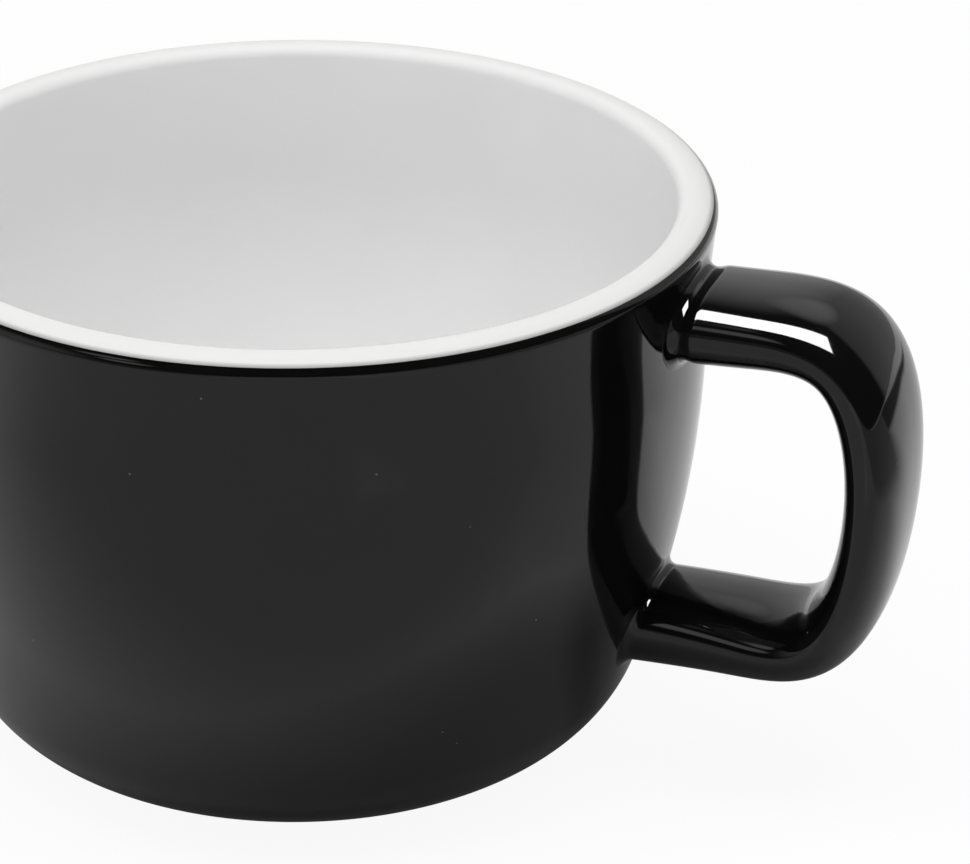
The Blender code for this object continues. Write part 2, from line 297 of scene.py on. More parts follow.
def strap(position, grown):
    """Centreline point, plus half the thickness across the heading and half the width, both grown."""
    share = position / run_length[-1]
    reach, height = (np.interp(position, run_length, axis) for axis in centreline.T)
    ahead, rise = (np.interp(position, run_length, axis) for axis in heading.T)
    out = (along_strap(STRAP_THICKNESS, share) / 2 + grown) * through
    side = (along_strap(STRAP_WIDTH, share) / 2 + grown) * across
    return np.stack([reach - rise * out, side, height + ahead * out], axis=-1)


def clearance(points):
    """Distance from the axis, less the radius of the glazed wall at the point's own height."""
    return np.hypot(points[..., 0], points[..., 1]) - np.interp(points[..., 2], *wall_line.T[::-1])


def root_position(start, direction, wanted):
    """Where along the path each section point has the wanted clearance: each round adds what it lacks."""
    position = np.full((len(wanted), SECTION_POINTS), start)
    for _ in range(SEARCH_ROUNDS):
        position = position + direction * (wanted[:, None] - clearance(strap(position, 0.0)))
    return position


outside_wall = np.flatnonzero(clearance(np.insert(centreline, 1, 0.0, axis=1)) > 0)
leaves, returns = run_length[outside_wall[[0, -1]]]
print(f"the strap leaves the wall at {leaves / MM:.1f} mm and returns at {returns / MM:.1f} mm")

# %% [markdown]
# ## Where the strap meets the wall
# Slip squeezed out of the joint is wiped into a small round fillet, and the glaze runs over it. At the
# upper root a shallow neck is left between the fillet and the strap. The fillet is a quarter circle:
# its angle goes from 0, where it lies flat on the wall, to 90 degrees, where it runs along the strap.

# %% Black sleeve round the handle
ROOT_FILLET = 1.2 * MM
NECK_DEPTH = MM * np.array([0.25, 0.0])  # at the upper root and at the lower one
NECK_START = 1.2 * MM
NECK_END = 2.7 * MM
LANDING = 0.006 * MM  # how deep the first row of a fillet sinks into the wall
FILLET_ROWS = 16
STRAP_ROWS = 222
HALF_WAY = 0.5
STRAP_THINNING = 3


def neck(points, depth):
    """The whole depth up to the neck's start, then a half wave of the clearance out to its end."""
    past = np.clip((clearance(points) - NECK_START) / (NECK_END - NECK_START), 0, 1)
    return depth * (1 + np.cos(math.pi * past)) / 2


def root_rows(start, direction, depth, inset):
    """Fillet rows: clearance r (1 - cos f) and growth r (1 - sin f), both less the inset below the skin."""
    turn = np.linspace(0, math.pi / 2, FILLET_ROWS)
    radius = ROOT_FILLET + inset
    stand_off = radius * (1 - np.cos(turn)) - inset
    stand_off[0] -= LANDING
    position = root_position(start, direction, stand_off)
    growth = (radius * (1 - np.sin(turn)) - inset)[:, None] - neck(strap(position, 0.0), depth)
    points = strap(position, growth)
    excess = clearance(points) - stand_off[:, None]
    blend = np.cos(turn)[:, None]
    scale = 1 - blend * excess / np.hypot(points[..., 0], points[..., 1])
    points[..., :2] *= scale[..., None]
    return position[-1], points


def handle_skin(inset):
    """Rows from the upper landing along the strap to the lower one, crowded towards both as a cosine."""
    upper_end, upper_rows = root_rows(leaves, 1, NECK_DEPTH[0], inset)
    lower_end, lower_rows = root_rows(returns, -1, NECK_DEPTH[1], inset)
    share = (1 - np.cos(np.linspace(0, math.pi, STRAP_ROWS)[1:-1, None])) / 2
    position = upper_end + (lower_end - upper_end) * share
    groove = neck(strap(position, 0.0), np.where(share < HALF_WAY, *NECK_DEPTH))
    return np.concatenate([upper_rows, strap(position, -inset - groove), lower_rows[::-1]])


handle_sleeve = np.concatenate([handle_skin(0.0), handle_skin(GLAZE)[::-STRAP_THINNING]])
handle_sleeve[..., 0] += AXIS_X
print(f"handle sleeve grid {handle_sleeve.shape[:2]}, fillet {ROOT_FILLET / MM} mm")

# %% [markdown]
# ## One coat, two meshes
# On the real cup the black coat is unbroken. It could be one mesh, made by a union, but that leaves slivers
# along the seam which show in the gloss. Here two closed sleeves meet in the landing of the fillets, and
# both stand for the one coat of the CAD. This also lets a lamp be shown to the handle alone.

# %% The black coat, on the body and over the handle
body_coat, handle_coat = (
    piece(name, grid, ring_faces(*grid.shape[:2]), "black_outer_glaze")
    for name, grid in (("black_glaze_on_body", sleeve), ("black_glaze_on_handle", handle_sleeve))
)

# %% [markdown]
# ## The white coat inside
# White glaze is poured in, swirled and tipped out, and the lip is dipped, so one coat runs from the
# floor up the wall and over the lip. The inner wall follows the outer one at an even thickness, and a
# wide arc takes it down to the flat floor without a corner that a spoon could catch on.

# %% Arcs of the inside
LIP_INNER = 1.6 * MM
WALL = 4.82 * MM
FLOOR_HEIGHT = 6.5 * MM
FLOOR_ARC = 18.0 * MM

inner_lip_centre = np.array([crown_centre[0], HEIGHT - LIP_INNER])
inner_waist = waist - (WALL, 0)
inner_flare_arc = flare_radius(inner_waist, inner_lip_centre, -LIP_INNER)
inner_flare_centre = inner_waist + (inner_flare_arc, 0)
inner_flare_angle = math.asin((inner_lip_centre[1] - WAIST_HEIGHT) / (inner_flare_arc - LIP_INNER))
floor_reach = WALL_ARC - WALL - FLOOR_ARC
floor_start = math.asin((WAIST_HEIGHT - FLOOR_HEIGHT - FLOOR_ARC) / floor_reach)
floor_centre = on_arc(wall_centre, floor_reach, floor_start)
print(f"inner flare arc {inner_flare_arc / MM:.1f} mm, floor arc about {np.round(floor_centre / MM, 2)} mm")

# %% White lining from the floor to the lip's shoulder
INNER_LIP_ROWS = 24
INNER_FLARE_ROWS = 14
INNER_WALL_ROWS = 36
FLOOR_CORNER_ROWS = 36
FLOOR_ROWS = 10
POLE_RADIUS = 0.2 * MM
LINING_THINNING = 3


def inside_run(depth, shoulder):
    """Lip from the shoulder over its crown, flare, wall and floor arcs, then the flat floor."""
    crown = lip_run(depth, shoulder, -math.pi / 2)
    lip_turn = np.linspace(-math.pi / 2, inner_flare_angle - math.pi, INNER_LIP_ROWS)
    lip = on_arc(inner_lip_centre, LIP_INNER - depth, lip_turn)
    flare_turn = np.linspace(math.pi + inner_flare_angle, math.pi, INNER_FLARE_ROWS)
    flare = on_arc(inner_flare_centre, inner_flare_arc - depth, flare_turn)
    wall = on_arc(wall_centre, WALL_ARC - WALL + depth, np.linspace(0, floor_start, INNER_WALL_ROWS))
    corner_turn = np.linspace(floor_start, math.pi / 2, FLOOR_CORNER_ROWS)
    corner = on_arc(floor_centre, FLOOR_ARC + depth, corner_turn)
    flat = np.linspace(corner[-1], (POLE_RADIUS, FLOOR_HEIGHT - depth), FLOOR_ROWS)
    return joined(crown, lip, flare, wall, corner, flat)


hidden_line = inside_run(GLAZE, WHITE_EDGE)[::LINING_THINNING]
lining_grid = turned(np.vstack([inside_run(0.0, WHITE_EDGE)[::-1], hidden_line]))
poles = np.array([(AXIS_X, 0, FLOOR_HEIGHT), (AXIS_X, 0, FLOOR_HEIGHT - GLAZE)])
white_lining = piece(
    "white_glaze_lining",
    np.vstack([lining_grid.reshape(-1, 3), poles]),
    poled_faces(*lining_grid.shape[:2]),
    "white_inner_glaze",
)

# %% [markdown]
# ## The bare clay
# Under the coats is a buff stoneware body, which shows only below, where the potter wipes the glaze off
# so that the cup doesn't stick to the kiln shelf. Its foot ring is trimmed with a tool and softened with
# a sponge, so its corners are round. A few corner points and one rounding radius each describe that.

# %% Outline of the foot ring
FOOT_RADIUS = 26.0 * MM
FOOT_WIDTH = 3.0 * MM
FOOT_RECESS = 2.2 * MM
FOOT_DROP = 0.3 * MM
FOOT_TAPER = 0.2 * MM
RECESS_TAPER = 0.4 * MM
FOOT_ROUNDING = MM * np.array([0.6, 0.6, 0.6, 0.9])
ROUNDING_ROWS = 7


def softened(corners, radius):
    """Each inner corner becomes a quadratic curve between points one radius back along its sides."""
    before = corners[:-2] - corners[1:-1]
    after = corners[2:] - corners[1:-1]
    start = corners[1:-1] + radius[:, None] * before / np.linalg.norm(before, axis=1)[:, None]
    stop = corners[1:-1] + radius[:, None] * after / np.linalg.norm(after, axis=1)[:, None]
    t = np.linspace(0, 1, ROUNDING_ROWS)[:, None, None]
    curves = (1 - t) ** 2 * start + 2 * t * (1 - t) * corners[1:-1] + t**2 * stop
    return np.vstack([corners[:1], curves.transpose(1, 0, 2).reshape(-1, 2), corners[-1:]])


clay_outside = outside_run(CLAY_DEPTH, -math.pi / 2, BARE_END)
foot_inside = FOOT_RADIUS - FOOT_WIDTH
foot_line = softened(np.array([
    clay_outside[-1],
    (FOOT_RADIUS, clay_outside[-1, 1] - FOOT_DROP),
    (FOOT_RADIUS - FOOT_TAPER, 0.0),
    (foot_inside + FOOT_TAPER, 0.0),
    (foot_inside - RECESS_TAPER, FOOT_RECESS),
    (POLE_RADIUS, FOOT_RECESS),
]), FOOT_ROUNDING)
print(f"foot ring {2 * FOOT_RADIUS / MM:.0f} mm across, outline of {len(foot_line)} points")

# %% Clay body with its foot ring
CLAY_THINNING = 2
CROWN_END = LIP_ROWS - 2  # the crown's rows all lie on one point here, so they are left out

clay_inside = inside_run(CLAY_DEPTH, -math.pi / 2)[:CROWN_END:-CLAY_THINNING]
body_grid = turned(joined(clay_inside, clay_outside, foot_line))
poles = np.array([(AXIS_X, 0, FLOOR_HEIGHT - CLAY_DEPTH), (AXIS_X, 0, FOOT_RECESS)])
clay_body = piece(
    "stoneware_cup_body",
    np.vstack([body_grid.reshape(-1, 3), poles]),
    poled_faces(*body_grid.shape[:2]),
    "cup_body",
)

# %% [markdown]
# ## Tools for the finishes
# Colours are written as the hex values that a picture editor shows, and one function turns them into the
# linear values that the shader works with. Another adds a node, sets its options and links its inputs. A
# Mix node for colours has its factor at input 0, its two colours at 6 and 7 and its result at output 2. A
# Map Range node has its value at input 0, the range it comes from at 1 and 2, and the new range at 3 and 4.

# %% Colour and node helpers
COLOURS = {"data_type": "RGBA"}
SMOOTH = {"interpolation_type": "SMOOTHSTEP"}
MIX_RESULT = 2
NOISE_LOW = 0.3  # nearly all of a noise texture lies between these two
NOISE_HIGH = 0.7


def linear(hex_colour):
    """The sRGB curve undone for each channel: (c + 0.055) / 1.055 to the power 2.4, or c / 12.92."""
    value = np.array([int(hex_colour[i:i + 2], 16) for i in (1, 3, 5)]) / 255
    return (*np.where(value > 0.04045, ((value + 0.055) / 1.055) ** 2.4, value / 12.92).tolist(), 1.0)


def add_node(tree, kind, settings=None, **inputs):
    """A node with its settings, whose inputs are values or sockets, given by name or by place as i0, i1."""
    made = tree.nodes.new(kind)
    for key, value in (settings or {}).items():
        setattr(made, key, value)
    for key, value in inputs.items():
        socket = made.inputs[int(key[1:])] if key[1:].isdigit() else made.inputs[key.replace("_", " ")]
        if isinstance(value, bpy.types.NodeSocket):
            tree.links.new(value, socket)
        else:
            socket.default_value = value
    return made


def new_material(name):
    """A material, its node tree and the shader in it."""
    made = bpy.data.materials.new(name)
    made.use_nodes = True
    return made, made.node_tree, made.node_tree.nodes["Principled BSDF"]


def feed(tree, shader, **sockets):
    """Links each socket to the shader's input of that name."""
    for key, socket in sockets.items():
        tree.links.new(socket, shader.inputs[key.replace("_", " ")])


print("#808080 is", np.round(linear("#808080"), 3), "to the shader")

# %% [markdown]
# ## Black gloss glaze
# An iron-rich stoneware glaze fired until it runs glassy: a mirror-like skin over a body so dark that
# almost all one sees is the studio in it. What keeps it from looking like plastic is the faint unevenness
# of a melted coat, which bends reflections a little, and a few pinholes where gas left the clay.

# %% Black gloss glaze
GLAZE_IOR = 1.5
POOL_WIDTH = 9.0 * MM
PIT_SPACING = 5.5 * MM
PIT_RIM = 0.026  # of the spacing, as the pit's floor is
PIT_FLOOR = 0.016
BLACK_ROUGHNESS = (0.045, 0.075)
BLACK_PEEL = 3.2 * MM
PEEL_DEPTH = 0.05 * MM

black_glaze, tree, shader = new_material("glassy_black_stoneware_glaze")
spot = add_node(tree, "ShaderNodeTexCoord").outputs["Object"]
pool = add_node(tree, "ShaderNodeTexNoise", Vector=spot, Scale=1 / POOL_WIDTH, Detail=2.0)
depth_tone = add_node(
    tree, "ShaderNodeMix", COLOURS,
    i0=pool.outputs["Fac"], i6=linear("#070707"), i7=linear("#0D0D0E"),
)
pits = add_node(tree, "ShaderNodeTexVoronoi", Vector=spot, Scale=1 / PIT_SPACING)
pit_mark = add_node(
    tree, "ShaderNodeMapRange", i0=pits.outputs["Distance"], i1=PIT_RIM, i2=PIT_FLOOR, i3=0.0, i4=1.0,
)
pit_tone = add_node(
    tree, "ShaderNodeMix", COLOURS,
    i0=pit_mark.outputs["Result"], i6=depth_tone.outputs[MIX_RESULT], i7=linear("#5A5A58"),
)
gloss = add_node(
    tree, "ShaderNodeMapRange", i0=pool.outputs["Fac"],
    i1=NOISE_LOW, i2=NOISE_HIGH, i3=BLACK_ROUGHNESS[0], i4=BLACK_ROUGHNESS[1],
)
peel = add_node(tree, "ShaderNodeTexNoise", Vector=spot, Scale=1 / BLACK_PEEL, Detail=1.0)
ripple = add_node(
    tree, "ShaderNodeBump", Strength=0.12, Distance=PEEL_DEPTH, Height=peel.outputs["Fac"],
)
feed(
    tree, shader, Base_Color=pit_tone.outputs[MIX_RESULT],
    Roughness=gloss.outputs["Result"], Normal=ripple.outputs["Normal"],
)
shader.inputs["IOR"].default_value = GLAZE_IOR
for coat in (body_coat, handle_coat):
    coat.data.materials.append(black_glaze)
print("black glaze:", len(tree.nodes), "nodes")

# %% [markdown]
# ## White glaze
# A tin-white glaze with a soft gloss. It is thick and even inside. Over the lip it is painted a little
# greyer:
# painted shade, which keeps the lip's crown, facing the softbox, no brighter than the inside. It draws thin
# where it ends on the lip's outer shoulder, where the dark coat under it shows through as a grey line. The
# distance from the axis tells lip and line apart: nothing else white lies so far out.

# %% White glaze
CLOUD_WIDTH = 14.0 * MM
THIN_WIDTH = 0.6 * MM
WHITE_ROUGHNESS = (0.45, 0.55)
WHITE_PEEL = 3.5 * MM

white_glaze, tree, shader = new_material("soft_white_tin_glaze")
spot = add_node(tree, "ShaderNodeTexCoord").outputs["Object"]
flat = add_node(
    tree, "ShaderNodeMapping", Vector=spot, Location=(-AXIS_X, 0, 0), Scale=(1, 1, 0),
)
from_axis = add_node(tree, "ShaderNodeVectorMath", {"operation": "LENGTH"}, i0=flat.outputs["Vector"])
edge_radius = lip_run(0.0, WHITE_EDGE, -math.pi / 2)[0, 0]
thin = add_node(
    tree, "ShaderNodeMapRange", SMOOTH,
    i0=from_axis.outputs["Value"], i1=edge_radius - THIN_WIDTH, i2=edge_radius, i3=0.0, i4=1.0,
)
# where the lip's painted shade goes, from the inner edge of the lip out to its crown
lip_shade_mask = add_node(
    tree, "ShaderNodeMapRange", SMOOTH,
    i0=from_axis.outputs["Value"], i1=crown_centre[0] - LIP_INNER, i2=crown_centre[0], i3=0.0, i4=1.0,
)
cloud = add_node(tree, "ShaderNodeTexNoise", Vector=spot, Scale=1 / CLOUD_WIDTH, Detail=2.0)
thick_tone = add_node(
    tree, "ShaderNodeMix", COLOURS,
    i0=cloud.outputs["Fac"], i6=linear("#EBEBEB"), i7=linear("#F0F0F0"),
)
# painted shade: the lip is mixed towards a greyer tone so that its crown, which faces the softbox, is no
# brighter than the inside
painted_lip_shade = add_node(
    tree, "ShaderNodeMix", COLOURS,
    i0=lip_shade_mask.outputs["Result"], i6=thick_tone.outputs[MIX_RESULT], i7=linear("#E2E2E1"),
)
white_tone = add_node(
    tree, "ShaderNodeMix", COLOURS,
    i0=thin.outputs["Result"], i6=painted_lip_shade.outputs[MIX_RESULT], i7=linear("#A8A8A7"),
)
gloss = add_node(
    tree, "ShaderNodeMapRange", i0=cloud.outputs["Fac"],
    i1=NOISE_LOW, i2=NOISE_HIGH, i3=WHITE_ROUGHNESS[0], i4=WHITE_ROUGHNESS[1],
)
peel = add_node(tree, "ShaderNodeTexNoise", Vector=spot, Scale=1 / WHITE_PEEL, Detail=1.0)
ripple = add_node(
    tree, "ShaderNodeBump", Strength=0.1, Distance=PEEL_DEPTH, Height=peel.outputs["Fac"],
)
feed(
    tree, shader, Base_Color=white_tone.outputs[MIX_RESULT],
    Roughness=gloss.outputs["Result"], Normal=ripple.outputs["Normal"],
)
shader.inputs["IOR"].default_value = GLAZE_IOR
white_lining.data.materials.append(white_glaze)
print("white glaze:", len(tree.nodes), "nodes, thin edge at radius", round(edge_radius / MM, 2), "mm")

# %% [markdown]
# ## Bare stoneware
# Fired stoneware is buff and dry, with darker grains of grit of about half a millimetre and a fine tooth
# that one feels more than sees. Noise gives the blush of the firing, and the cells of a Voronoi texture
# give the grit. It shows on the foot ring, and the clay of the handle has it too, under the glaze.

# %% Bare stoneware
BLUSH_WIDTH = 7.0 * MM
GRIT_SPACING = 1.4 * MM
GRIT_RIM = 0.22  # of the spacing, as the core of a grain is
GRIT_CORE = 0.1
GRIT_SHARE = 0.7
GRAIN_WIDTH = 0.35 * MM
TOOTH_DEPTH = 0.08 * MM
CLAY_ROUGHNESS = (0.78, 0.9)

stoneware, tree, shader = new_material("bare_fired_stoneware")
spot = add_node(tree, "ShaderNodeTexCoord").outputs["Object"]
blush = add_node(tree, "ShaderNodeTexNoise", Vector=spot, Scale=1 / BLUSH_WIDTH, Detail=4.0)
grit = add_node(tree, "ShaderNodeTexVoronoi", Vector=spot, Scale=1 / GRIT_SPACING)
grain = add_node(tree, "ShaderNodeTexNoise", Vector=spot, Scale=1 / GRAIN_WIDTH, Detail=3.0)
buff = add_node(
    tree, "ShaderNodeMix", COLOURS,
    i0=blush.outputs["Fac"], i6=linear("#C9B79C"), i7=linear("#DCCDB5"),
)
grit_mark = add_node(
    tree, "ShaderNodeMapRange",
    i0=grit.outputs["Distance"], i1=GRIT_RIM, i2=GRIT_CORE, i3=0.0, i4=GRIT_SHARE,
)
clay_tone = add_node(
    tree, "ShaderNodeMix", COLOURS,
    i0=grit_mark.outputs["Result"], i6=buff.outputs[MIX_RESULT], i7=linear("#8A6F52"),
)
tooth = add_node(
    tree, "ShaderNodeBump", Strength=0.5, Distance=TOOTH_DEPTH, Height=grain.outputs["Fac"],
)
dry = add_node(
    tree, "ShaderNodeMapRange", i0=blush.outputs["Fac"],
    i1=NOISE_LOW, i2=NOISE_HIGH, i3=CLAY_ROUGHNESS[0], i4=CLAY_ROUGHNESS[1],
)
feed(
    tree, shader, Base_Color=clay_tone.outputs[MIX_RESULT],
    Roughness=dry.outputs["Result"], Normal=tooth.outputs["Normal"],
)
clay_body.data.materials.append(stoneware)
handle_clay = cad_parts["handle"].data
handle_clay.materials.clear()
handle_clay.materials.append(stoneware)
print("stoneware:", len(tree.nodes), "nodes")

# %% [markdown]
# ## Fired slip
# The slip of the joints is the same clay without its grit, so it is smoother and a little greyer, with the
# drag of the finger that wiped it. It lies wholly under glaze, but it has its own finish for the day that
# a maker takes the cup apart.

# %% Fired slip
SMEAR_WIDTH = 2.5 * MM
SMEAR_DEPTH = 0.1 * MM
SLIP_ROUGHNESS = 0.85

slip, tree, shader = new_material("fired_luting_slip")
spot = add_node(tree, "ShaderNodeTexCoord").outputs["Object"]
smear = add_node(tree, "ShaderNodeTexNoise", Vector=spot, Scale=1 / SMEAR_WIDTH, Detail=3.0)
slip_tone = add_node(
    tree, "ShaderNodeMix", COLOURS,
    i0=smear.outputs["Fac"], i6=linear("#BDAE98"), i7=linear("#D2C5B0"),
)
drag = add_node(
    tree, "ShaderNodeBump", Strength=0.3, Distance=SMEAR_DEPTH, Height=smear.outputs["Fac"],
)
feed(tree, shader, Base_Color=slip_tone.outputs[MIX_RESULT], Normal=drag.outputs["Normal"])
shader.inputs["Roughness"].default_value = SLIP_ROUGHNESS
for root in ("upper", "lower"):
    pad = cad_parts[f"{root}_handle_joint"].data
    pad.materials.clear()
    pad.materials.append(slip)
print("slip:", len(tree.nodes), "nodes")

# %% [markdown]
# ## The white floor
# The cup stands on seamless white paper. To the camera and through anything clear it is nearly pure white,
# which Light Path's camera and transmission rays give without more light on the cup, and the rest of its
# tone is real, so it keeps the cup's shadow. In the gloss it is dim close by and white further off. Seen
# from below it is clear, so that the foot can be looked at.

# %% Paper floor
FLOOR_HALF = 3.0
QUAD = [(0, 1, 2, 3)]
PAPER_ROUGHNESS = 0.9
MOTTLES_PER_METRE = 30.0  # each about 33 mm wide, and barely seen
SEEN_WHITE = 0.93  # of what the camera sees, and the rest is the lit paper
MIRRORED_NEAR = (0.12, 0.1)  # metres from the cup, and the share of white that the gloss shows there
MIRRORED_FAR = (0.4, 0.9)


def stage_piece(name, points, faces, material):
    """A mesh with one material that belongs to the set and not to the cup."""
    mesh = bpy.data.meshes.new(name)
    mesh.from_pydata(points, [], faces)
    mesh.materials.append(material)
    thing = bpy.data.objects.new(name, mesh)
    bpy.context.scene.collection.objects.link(thing)
    thing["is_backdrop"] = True
    print(f"{name}: {len(mesh.polygons)} faces, of {material.name}")
    return thing


def show(tree, shown):
    """Links a shader's output to the material's surface."""
    tree.links.new(shown, tree.nodes["Material Output"].inputs["Surface"])


paper, tree, shader = new_material("white_seamless_paper")
shader.inputs["Roughness"].default_value = PAPER_ROUGHNESS
shader.inputs["Specular IOR Level"].default_value = 0.0
spot = add_node(tree, "ShaderNodeTexCoord").outputs["Object"]
mottle = add_node(tree, "ShaderNodeTexNoise", Vector=spot, Scale=MOTTLES_PER_METRE)
paper_tone = add_node(
    tree, "ShaderNodeMix", COLOURS,
    i0=mottle.outputs["Fac"], i6=linear("#F2F2F2"), i7=linear("#F6F6F6"),
)
feed(tree, shader, Base_Color=paper_tone.outputs[MIX_RESULT])
ray = add_node(tree, "ShaderNodeLightPath")
seen = add_node(
    tree, "ShaderNodeMath", {"operation": "MAXIMUM"},
    i0=ray.outputs["Is Camera Ray"], i1=ray.outputs["Is Transmission Ray"],
)
white_share = add_node(
    tree, "ShaderNodeMath", {"operation": "MULTIPLY"}, i0=seen.outputs["Value"], i1=SEEN_WHITE,
)
from_cup = add_node(tree, "ShaderNodeVectorMath", {"operation": "LENGTH"}, i0=spot)
far_white = add_node(
    tree, "ShaderNodeMapRange", SMOOTH, i0=from_cup.outputs["Value"],
    i1=MIRRORED_NEAR[0], i2=MIRRORED_FAR[0], i3=MIRRORED_NEAR[1], i4=MIRRORED_FAR[1],
)
mirrored_share = add_node(
    tree, "ShaderNodeMath", {"operation": "MULTIPLY_ADD"},
    i0=ray.outputs["Is Glossy Ray"], i1=far_white.outputs["Result"], i2=white_share.outputs["Value"],
)
bright = add_node(tree, "ShaderNodeEmission", Color=(1, 1, 1, 1), Strength=1.0)
mixed = add_node(
    tree, "ShaderNodeMixShader",
    i0=mirrored_share.outputs["Value"], i1=shader.outputs["BSDF"], i2=bright.outputs["Emission"],
)
below = add_node(tree, "ShaderNodeNewGeometry")
gap = add_node(tree, "ShaderNodeBsdfTransparent")
one_sided = add_node(
    tree, "ShaderNodeMixShader",
    i0=below.outputs["Backfacing"], i1=mixed.outputs["Shader"], i2=gap.outputs["BSDF"],
)
show(tree, one_sided.outputs["Shader"])
floor_corners = [(FLOOR_HALF * x, FLOOR_HALF * y, 0) for x, y in ((-1, -1), (1, -1), (1, 1), (-1, 1))]
stage_piece("studio_floor", floor_corners, QUAD, paper)

# %% [markdown]
# ## The white room
# Round the floor is a white room. The camera and the gloss see it as plain white, but it lights the cup
# only a little, because most of the light comes from the lamps.

# %% World
WORLD_FILL = 0.3

world = bpy.data.worlds.new("white_studio")
bpy.context.scene.world = world
world.use_nodes = True
tree = world.node_tree
ray = add_node(tree, "ShaderNodeLightPath")
seen = ray.outputs["Is Camera Ray"]
for kind in ("Is Glossy Ray", "Is Transmission Ray"):
    either = add_node(tree, "ShaderNodeMath", {"operation": "MAXIMUM"}, i0=seen, i1=ray.outputs[kind])
    seen = either.outputs["Value"]
level = add_node(tree, "ShaderNodeMapRange", i0=seen, i1=0.0, i2=1.0, i3=WORLD_FILL, i4=1.0)
sky = tree.nodes["Background"]
sky.inputs["Color"].default_value = (1, 1, 1, 1)
feed(tree, sky, Strength=level.outputs["Result"])
print(f"world: white to the eye, {WORLD_FILL} of that as light")

# %% [markdown]
# ## The camera
# It stands about half a metre off and looks down at the rim, as the photographer's did. Its place is given
# by its bearing round the cup, its height angle and its distance from the middle of the rim.

# %% Camera
BEARING = math.radians(21.2)
LOOK_DOWN = math.radians(22.738)
DISTANCE = 0.55
AIM_RIGHT = math.radians(2.4297)
AIM_DOWN = math.radians(25.602)
ROLL_LEFT = math.radians(0.392)
FOCAL_PIXELS = 4902.8
IMAGE_WIDTH = 970
SENSOR_WIDTH = 36.0
RIM_LEVEL = 66.0 * MM

rim_middle = Vector((AXIS_X, 0, RIM_LEVEL))
toward_camera = Vector((
    math.sin(BEARING) * math.cos(LOOK_DOWN), -math.cos(BEARING) * math.cos(LOOK_DOWN), math.sin(LOOK_DOWN),
))
lens = bpy.data.cameras.new("camera")
lens.sensor_width = SENSOR_WIDTH
lens.lens = FOCAL_PIXELS / IMAGE_WIDTH * lens.sensor_width
camera = bpy.data.objects.new("camera", lens)
bpy.context.scene.collection.objects.link(camera)
camera.matrix_world = (
    Matrix.Translation(rim_middle + DISTANCE * toward_camera)
    @ Matrix.Rotation(BEARING - AIM_RIGHT, 4, "Z")
    @ Matrix.Rotation(math.pi / 2 - AIM_DOWN, 4, "X")
    @ Matrix.Rotation(ROLL_LEFT, 4, "Z")
)
bpy.context.scene.camera = camera
print(f"camera at {np.round(camera.matrix_world.translation, 3)}, lens {lens.lens:.1f} mm")

# %% [markdown]
# ## The overhead softbox
# A wide softbox hangs over the cup, a little towards the camera and to the left, and lights the white
# inside and the floor. Bare bulbs would cut hard shadows. Blender takes the radiance of an area lamp's face
# as its power over four times its area, so the power is worked out from the wanted radiance. The lamp
# itself is kept out of the gloss, which gets a face of its own in the next step.

# %% Overhead softbox
BOX_HEIGHT = 1.0
BOX_SIZE = (1.2 * BOX_HEIGHT, 0.54 * BOX_HEIGHT)
BOX_FORWARD = 0.21 * BOX_HEIGHT
BOX_LEFT = 0.15 * BOX_HEIGHT
BOX_RADIANCE = 3.95


def toward(bearing, elevation):
    """The direction at a bearing from the camera's own and at an elevation, both in degrees."""
    turn = BEARING + math.radians(bearing)
    rise = math.radians(elevation)
    return Vector((math.sin(turn) * math.cos(rise), -math.cos(turn) * math.cos(rise), math.sin(rise)))


def add_lamp(name, size, radiance):
    """A rectangular area lamp, kept out of the gloss, whose power is 4 times radiance times area."""
    lamp = bpy.data.lights.new(name, "AREA")
    lamp.shape = "RECTANGLE"
    lamp.size, lamp.size_y = size
    lamp.energy = 4 * radiance * size[0] * size[1]
    thing = bpy.data.objects.new(name, lamp)
    bpy.context.scene.collection.objects.link(thing)
    thing.visible_glossy = False
    print(f"{name}: {lamp.energy:.2f} W")
    return thing


box_middle = Vector((0, 0, HEIGHT)) + BOX_HEIGHT * Vector((0, 0, 1))
box_middle += BOX_FORWARD * toward(0, 0) + BOX_LEFT * toward(-90, 0)
overhead = add_lamp("overhead_softbox", BOX_SIZE, BOX_RADIANCE)
overhead.location = box_middle
overhead.rotation_euler.z = BEARING

# %% [markdown]
# ## The softbox's face
# The line of light along the upper arm is this softbox in the glaze. Glass mirrors only a twenty-fifth of
# what it faces, so the silk has to be far brighter than white paper to show as white. A card at the lamp's
# place glows that bright. Light linking shows it to the handle alone, and Ray Depth to first reflections
# alone, or it would draw a second line wherever one part of the glaze mirrors another.

# %% The softbox's face, as the handle mirrors it
FACE_RADIANCE = 25.0
FIRST_BOUNCE = 1.5  # a first reflection has a ray depth of 1, and a second one of 2


def lying(middle, left, right, back, front):
    """Corners of a level rectangle, face up, so far right of and in front of its middle for the camera."""
    corners = ((left, back), (left, front), (right, front), (right, back))
    return [middle + x * toward(90, 0) + y * toward(0, 0) for x, y in corners]


def only_mirrored(thing):
    """Keeps a thing out of everything but reflections, so that it takes no light away from the cup."""
    thing.visible_camera = False
    thing.visible_diffuse = False
    thing.visible_transmission = False
    thing.visible_shadow = False


